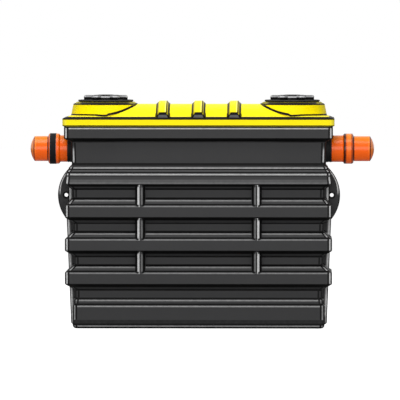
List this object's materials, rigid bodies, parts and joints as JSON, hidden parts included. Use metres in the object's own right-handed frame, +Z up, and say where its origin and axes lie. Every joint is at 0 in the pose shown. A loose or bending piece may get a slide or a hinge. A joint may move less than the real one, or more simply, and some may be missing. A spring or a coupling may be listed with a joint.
{
  "type": "aerobic filter tank",
  "caption": "Slim ribbed plastic filter tank with an arched cover, screw-capped inspection turrets, side lifting ears and sewer pipe stubs at both ends.",
  "frame": {"origin": "centre of the tank's underside", "axes": "+X along the tank towards the outlet, +Y through its depth from front to back, +Z up"},
  "size_m": [1.511, 0.346, 1.024],
  "materials": {
    "tank_pe": "matt moulded",
    "cover_pe": "satin moulded",
    "cap_pe": "fine grain",
    "pvc": "extruded, satin",
    "band_plastic": "smooth",
    "rubber": "matt",
    "inner_plastic": "matt",
    "media_plastic": "matt"
  },
  "bodies": {
    "tank": {"tank_body": "tank_pe", "cover_seal": "rubber", "cover": "cover_pe", "grommet_left": "rubber", "grommet_right": "rubber", "socket_pipe_left": "pvc", "socket_pipe_right": "pvc", "socket_ring_left": "rubber", "socket_ring_right": "rubber", "socket_band_left": "band_plastic", "spigot_left": "pvc", "spigot_right": "pvc", "grate_legs": "inner_plastic", "support_grate": "inner_plastic", "distribution_tray": "inner_plastic", "inlet_elbow": "pvc", "outlet_tee": "pvc", "outlet_riser": "pvc", "media_block_1": "media_plastic", "media_block_2": "media_plastic", "media_block_3": "media_plastic", "media_block_4": "media_plastic", "media_block_5": "media_plastic"},
    "cap_seal_left": {"cap_seal_left": "rubber"},
    "cap_seal_right": {"cap_seal_right": "rubber"},
    "screw_cap_left": {"screw_cap_left": "cap_pe"},
    "screw_cap_right": {"screw_cap_right": "cap_pe"},
    "plug_left": {"plug_left": "pvc"},
    "plug_right": {"plug_right": "pvc"}
  },
  "joints": [
    {"name": "cap_lift_left", "type": "slide", "parent": "tank", "child": "cap_seal_left", "axis": [0, 0, 1], "range_m": [0, 0.018]},
    {"name": "cap_turn_left", "type": "hinge", "parent": "cap_seal_left", "child": "screw_cap_left", "pos_m": [-0.41, 0, 0.994], "axis": [0, 0, 1], "range_deg": [0, 720]},
    {"name": "plug_pull_left", "type": "slide", "parent": "tank", "child": "plug_left", "axis": [-1, 0, 0], "range_m": [0, 0.035]},
    {"name": "cap_lift_right", "type": "slide", "parent": "tank", "child": "cap_seal_right", "axis": [0, 0, 1], "range_m": [0, 0.018]},
    {"name": "cap_turn_right", "type": "hinge", "parent": "cap_seal_right", "child": "screw_cap_right", "pos_m": [0.41, 0, 0.994], "axis": [0, 0, 1], "range_deg": [0, 720]},
    {"name": "plug_pull_right", "type": "slide", "parent": "tank", "child": "plug_right", "axis": [1, 0, 0], "range_m": [0, 0.035]}
  ],
  "couplings": [
    {"joint": "cap_lift_left", "follows": "cap_turn_left", "m_per_rad": 0.0014324},
    {"joint": "cap_lift_right", "follows": "cap_turn_right", "m_per_rad": 0.0014324}
  ]
}
